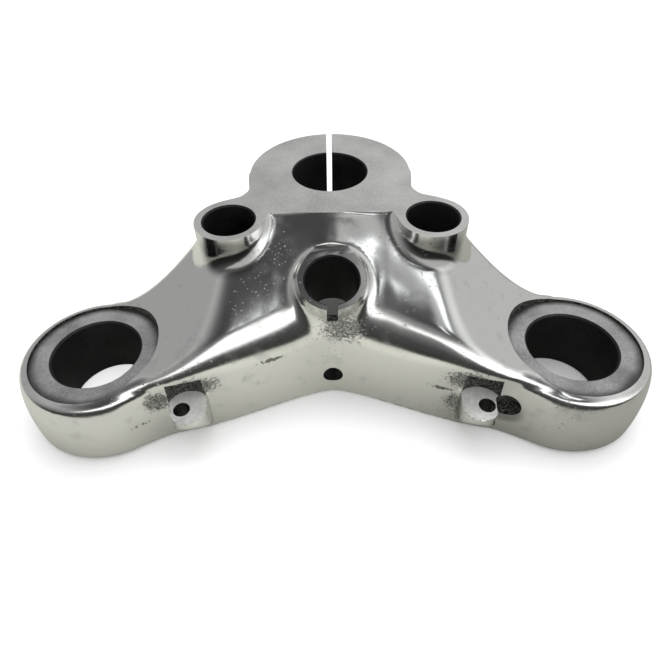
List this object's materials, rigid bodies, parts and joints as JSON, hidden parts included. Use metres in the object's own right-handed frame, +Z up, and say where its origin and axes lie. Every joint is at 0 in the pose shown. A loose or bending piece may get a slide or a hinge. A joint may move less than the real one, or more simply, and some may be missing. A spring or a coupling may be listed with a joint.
{
  "type": "motorcycle top yoke",
  "caption": "Polished cast aluminium top yoke of a motorcycle fork, with a split stem bore, fork bores, handlebar lugs and a slotted lock boss.",
  "frame": {"origin": "on the stem bore axis in the flat top face", "axes": "+X across towards one fork bore, -Y forwards from the stem to the forks, +Z up along the bores"},
  "size_m": [0.239, 0.1281, 0.0632],
  "materials": {
    "cast_aluminium": "polished, with satin machined faces"
  },
  "bodies": {
    "root": {"top_yoke": "cast_aluminium"}
  },
  "joints": []
}
